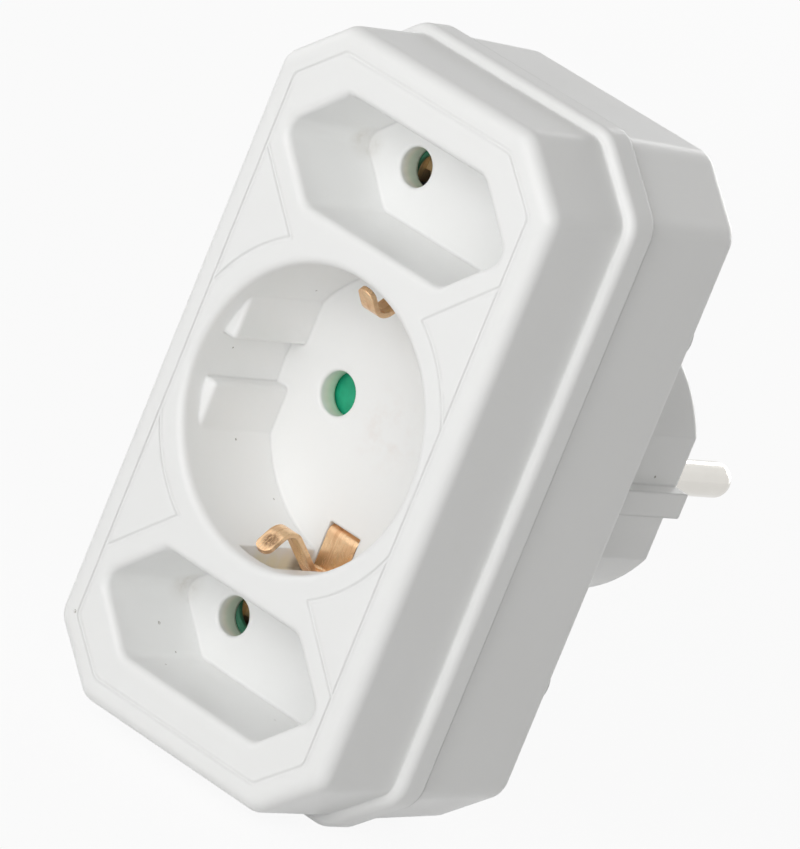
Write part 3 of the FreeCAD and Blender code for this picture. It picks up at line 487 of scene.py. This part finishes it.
def inner_plastic():
    g = Finish("inner_grey", IOR=PLASTIC_IOR)
    cloud = g.noise(INNER_CLOUD, detail=4.0)
    colour = cloud.mix(INNER_LIGHT, INNER_WARM)
    grain = g.noise(INNER_GRAIN_SIZE)
    normal = g.bump(grain, INNER_GRAIN_DEPTH, INNER_GRAIN, g.rounding(INNER_ROLL))
    roughness = INNER_ROUGHNESS + cloud * INNER_CLOUD_ROUGHENS
    return g.finish(Base_Color=colour, Roughness=roughness, Normal=normal)


dress(inner_plastic(), "round_shutter_cap", "upper_shutter_cap", "lower_shutter_cap", "contact_carrier")

# %% [markdown]
# ## Strip metal
# The earth clips are cut and folded from bronze strip, and the live contacts from brass. Rolling
# draws fine lines along the strip, and each plug that goes in scratches it the same way. Brown
# tarnish gathers in patches and in the deeper scratches. Near each clip's tip a blotchy painted dark
# reflection lies over the metal. An anisotropic shader could stretch the highlights, but at this size
# the lines themselves can be seen, so they are made as noise: two widths of line, both drawn out
# along the strip, feed the colour, the roughness and the bump together.

# %% Rolled strip
FINE_LINE, FINE_DEPTH = 0.09 * MM, 0.006 * MM
SCRATCH_WIDTH, SCRATCH_DEPTH = 0.3 * MM, 0.02 * MM
LINE_RUN = 30
LINE_RELIEF = 0.5
DEEP_BAND = (0.5, 0.66)
TARNISH_SIZE, TARNISH_BAND = 2.5 * MM, (0.45, 0.75)
TARNISH_DULLS, SCRATCH_DULLS, LINE_DULLS = 0.4, 0.45, 0.6
TARNISH_ROUGHENS, SCRATCH_ROUGHENS, LINE_ROUGHENS = 0.2, 0.12, 0.14
# The brown of the painted dark reflection near the clip tips.
REFLECTION_BROWN = (0.2, 0.11, 0.055, 1.0)
BLOTCH_SIZE, BLOTCH_BAND = 0.35 * MM, (0.3, 0.55)
BLOTCH_EVEN, BLOTCH_BROKEN = 0.35, 0.55
REFLECTION_SCRATCHED = 0.4


def with_dark_reflection(g, colour, reflections, deep):
    """The colour with a blotchy painted dark reflection over it, scratched through in part."""
    broken = g.noise(BLOTCH_SIZE, detail=4.0).band(*BLOTCH_BAND)
    reflection_mask = g.patches(reflections) * (BLOTCH_EVEN + broken * BLOTCH_BROKEN)
    return (reflection_mask * (1 - deep * REFLECTION_SCRATCHED)).mix(colour, REFLECTION_BROWN)


def strip_metal(name, bright, dull, across, base_roughness, reflections=()):
    """Rolled strip whose lines run square to the named axis."""
    g = Finish(name, Metallic=1.0)
    fine, scratch = [
        g.lines(*[width if axis == across else width * LINE_RUN for axis in "XYZ"])
        for width in (FINE_LINE, SCRATCH_WIDTH)
    ]
    deep = scratch.band(*DEEP_BAND)
    tarnish = g.noise(TARNISH_SIZE, detail=5.0).band(*TARNISH_BAND)
    dulled = tarnish * TARNISH_DULLS + deep * SCRATCH_DULLS + fine.swing(LINE_DULLS)
    colour = dulled.mix(bright, dull)
    if reflections:
        colour = with_dark_reflection(g, colour, reflections, deep)
    roughness = (
        base_roughness + tarnish * TARNISH_ROUGHENS + deep * SCRATCH_ROUGHENS + fine.swing(LINE_ROUGHENS)
    )
    rolled = g.bump(fine, FINE_DEPTH, LINE_RELIEF, g.rounding(INNER_ROLL))
    normal = g.bump(scratch, SCRATCH_DEPTH, LINE_RELIEF, rolled)
    return g.finish(Base_Color=colour, Roughness=roughness, Normal=normal)


print("a rolled line runs", round(FINE_LINE * LINE_RUN / MM, 2), "mm along the strip")

# %% Bronze and brass
BRONZE_BRIGHT = (0.95, 0.65, 0.39, 1.0)
BRONZE_DULL = (0.64, 0.35, 0.18, 1.0)
BRONZE_ROUGHNESS = 0.24
BRASS_BRIGHT = (0.72, 0.56, 0.34, 1.0)
BRASS_DULL = (0.45, 0.33, 0.19, 1.0)
BRASS_ROUGHNESS = 0.6

# Painted dark reflections near the tips of the two earth clips.
tip_reflection_spots = [(at(0.2, 3.9, -16.9), 1.5 * MM), (at(0, 6.0, 14.6), 0.9 * MM)]
bronze = strip_metal("bronze_strip", BRONZE_BRIGHT, BRONZE_DULL, "X", BRONZE_ROUGHNESS, tip_reflection_spots)
brass = strip_metal("brass_strip", BRASS_BRIGHT, BRASS_DULL, "Y", BRASS_ROUGHNESS)
dress(bronze, "earth_strap", "plug_earth_bow")
dress(brass, "right_busbar", "left_busbar", "upper_rivet", "lower_rivet")

# %% [markdown]
# ## Turned and drawn metal
# The pins are turned from brass and nickel plated. The lathe leaves rings round each pin, which are
# noise drawn out the other way: even round the pin and busy along it. Plug pins are pushed in and
# pulled out, so the plating also has long, fine scratches. Screws and springs are plain steel.
# A ring could be a wave texture, but its even spacing looks like a thread, so noise is used again.

# %% Nickel and steel
NICKEL_BRIGHT = (0.74, 0.72, 0.68, 1.0)
NICKEL_DULL = (0.6, 0.58, 0.54, 1.0)
NICKEL_ROUGHNESS = 0.16
STEEL_BRIGHT = (0.6, 0.61, 0.62, 1.0)
STEEL_DULL = (0.42, 0.43, 0.44, 1.0)
STEEL_ROUGHNESS = 0.3
RING_WIDTH, RING_RUN, RING_DEPTH = 0.11 * MM, 5 * MM, 0.004 * MM
PIN_SCRATCH_WIDTH, PIN_SCRATCH_RUN = 0.14 * MM, 11 * MM
PIN_SCRATCH_BAND = (0.66, 0.78)
HAZE_SIZE, HAZE_DULLS = 4 * MM, 0.6
RING_ROUGHENS, PIN_SCRATCH_ROUGHENS, RING_RELIEF = 0.1, 0.15, 0.4


def turned_metal(name, bright, dull, base_roughness):
    g = Finish(name, Metallic=1.0)
    rings = g.lines(RING_RUN, RING_WIDTH, RING_RUN)
    scratches = g.lines(PIN_SCRATCH_WIDTH, PIN_SCRATCH_RUN, PIN_SCRATCH_WIDTH).band(*PIN_SCRATCH_BAND)
    haze = g.noise(HAZE_SIZE, detail=4.0)
    colour = (haze * HAZE_DULLS).mix(bright, dull)
    roughness = base_roughness + rings.swing(RING_ROUGHENS) + scratches * PIN_SCRATCH_ROUGHENS
    normal = g.bump(rings, RING_DEPTH, RING_RELIEF, g.rounding(INNER_ROLL))
    return g.finish(Base_Color=colour, Roughness=roughness, Normal=normal)


nickel = turned_metal("nickel_plate", NICKEL_BRIGHT, NICKEL_DULL, NICKEL_ROUGHNESS)
steel = turned_metal("zinc_steel", STEEL_BRIGHT, STEEL_DULL, STEEL_ROUGHNESS)
dress(nickel, "right_pin", "left_pin")
dress(steel, *[name for name in nodes if "screw" in name or "spring" in name])

# %% [markdown]
# ## The springs of the sliding shutters
# Behind each sliding shutter a small coil spring is pressed shorter as the shutter opens. A solid of
# the frame never changes its shape, so each of these two springs is shown by a copy with a mesh of its
# own, which rides on the housing while the spring itself is hidden. The turning shutter's spring only
# twists, so it stays as it is.


def coil(side):
    """Shows a sliding shutter's spring by a copy with its own mesh, which rides on the housing."""
    spring, shutter_slide = side + "_shutter_spring", side + "_shutter_slide"
    piece = bpy.data.objects.new(side + "_coil", nodes[spring].data.copy())
    bpy.context.scene.collection.objects.link(piece)
    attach(piece, "housing")
    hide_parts(spring)
    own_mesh(piece)


coil("upper")
coil("lower")

# %% [markdown]
# ## The studio
# The photograph shows the adapter in soft light on white. The floor is pale and plain. A white
# backdrop could be made by flooding it with light, but that would bleach the object too. Instead the
# rays that come straight from the camera, or by way of a mirror, see white, and the rest see the
# real floor. A little of the real floor is left in the mix, so the object keeps its shadow.

# %% Floor
FLOOR_SIZE = 6.0
FLOOR_WHITE = 0.82
FLOOR_ROUGHNESS, FLOOR_GLOSS = 0.9, 0.1
FLOOR_GAP = 0.02 * MM
WHITE_SHARE = 0.92


def pale_floor():
    shader_values = {"Roughness": FLOOR_ROUGHNESS, "Specular_IOR_Level": FLOOR_GLOSS}
    g = Finish("floor_white", Base_Color=grey(FLOOR_WHITE), **shader_values)
    white = g.node("ShaderNodeEmission", {}, {"Color": grey(1.0), "Strength": 1.0})[0]
    lit = Wire(g, g.shader.outputs[0])
    mixed = g.node("ShaderNodeMixShader", {}, [g.seen_directly() * WHITE_SHARE, lit, white])[0]
    g.show(mixed, "Material Output")
    return g.material


bpy.ops.mesh.primitive_plane_add(size=FLOOR_SIZE)
floor = bpy.context.object
floor.name = "floor"
floor.location.z = cad_box[0][2] - FLOOR_GAP
floor.data.materials.append(pale_floor())
print("floor at z =", round(floor.location.z / MM, 2), "mm")

# %% [markdown]
# ## The sky
# The walls of a room send a little light back from all round, which keeps the shadows open. A
# picture of a room could light the scene, but its pattern would show in the pins, so one dim and
# slightly warm colour stands for the walls. The camera and the mirrors see plain white in its place.

# %% World light
SKY_WARM = (1.0, 0.98, 0.94, 1.0)
SKY_STRENGTH = 0.18

world = bpy.data.worlds.new("studio")
world.use_nodes = True
bpy.context.scene.world = world
air = Graph(world.node_tree)
sky = air.node("ShaderNodeBackground", {}, {"Color": SKY_WARM, "Strength": SKY_STRENGTH})[0]
backdrop = air.node("ShaderNodeBackground", {}, {"Color": grey(1.0), "Strength": 1.0})[0]
air.show(air.node("ShaderNodeMixShader", {}, [air.seen_directly(), sky, backdrop])[0], "World Output")
print("sky strength:", SKY_STRENGTH)

# %% [markdown]
# ## The lamps
# Five square softboxes light the object, all turned towards it from a metre away. Three are on the
# camera's side: the strongest of them to the right, a weaker one straight in front, and one higher
# up. Their powers were worked out together from the brightness of the photograph's faces. The other
# two stand to the left and behind, so that the adapter also looks right from there. Spotlights would
# give hard shadows, which the photograph doesn't have.

# %% Softboxes
BOX_DISTANCE = 1.0
BOX_SIZE = 0.8


def softbox(name, azimuth, elevation, power):
    """A square lamp of so many watts that looks at the origin, from a direction in degrees."""
    lamp = bpy.data.lights.new(name, "AREA")
    lamp.shape = "SQUARE"
    lamp.size = BOX_SIZE
    lamp.energy = power
    box = bpy.data.objects.new(name, lamp)
    bpy.context.scene.collection.objects.link(box)
    around = Matrix.Rotation(math.radians(azimuth), 3, "Z")
    up = Matrix.Rotation(-math.radians(elevation), 3, "X")
    towards = around @ up @ Vector((0, -1, 0))
    box.location = towards * BOX_DISTANCE
    box.rotation_euler = towards.to_track_quat("Z", "Y").to_euler()
    print(name, "at", [round(value, 2) for value in box.location])


softbox("front_light", 0, 8, 1.9)
softbox("right_light", 30, 8, 4.4)
softbox("high_light", 0, 35, 2.1)
softbox("left_light", -80, 10, 2.5)
softbox("back_light", 190, 8, 5.5)

# %% [markdown]
# ## The camera
# A product photographer stands well back with a long lens, so the box hardly tapers. The place of
# this camera was worked out from the photograph: it looks at the face from the right and a little
# above, and it is rolled, which is why the adapter leans. The view could be set by dragging the
# camera about, but a few plain facts give it exactly: two angles, the roll, the distance, the point
# that it aims at, and the lens.

# %% Camera
VIEW_AZIMUTH = 37.14
VIEW_ELEVATION = 14.05
VIEW_ROLL = 22.25
VIEW_DISTANCE = 1.3
VIEW_AIM = Vector((-6.59, -28.94, -2.4)) * MM
LENS = 432.3
CLIP_END = 20.0

azimuth = math.radians(VIEW_AZIMUTH)
elevation = math.radians(VIEW_ELEVATION)
back = Vector((math.sin(azimuth), -math.cos(azimuth), math.tan(elevation))).normalized()
camera = bpy.data.objects.new("camera", bpy.data.cameras.new("camera"))
bpy.context.scene.collection.objects.link(camera)
camera.data.lens = LENS
camera.data.clip_end = CLIP_END
upright = back.to_track_quat("Z", "Y").to_matrix().to_4x4()
camera.matrix_world = upright @ Matrix.Rotation(math.radians(VIEW_ROLL), 4, "Z")
camera.location = VIEW_AIM + back * VIEW_DISTANCE
bpy.context.scene.camera = camera
bpy.context.scene.view_settings.view_transform = "Standard"
print("camera at", [round(value, 3) for value in camera.location])

# %% [markdown]
# ## The end
# Dressing a solid must not change its size.
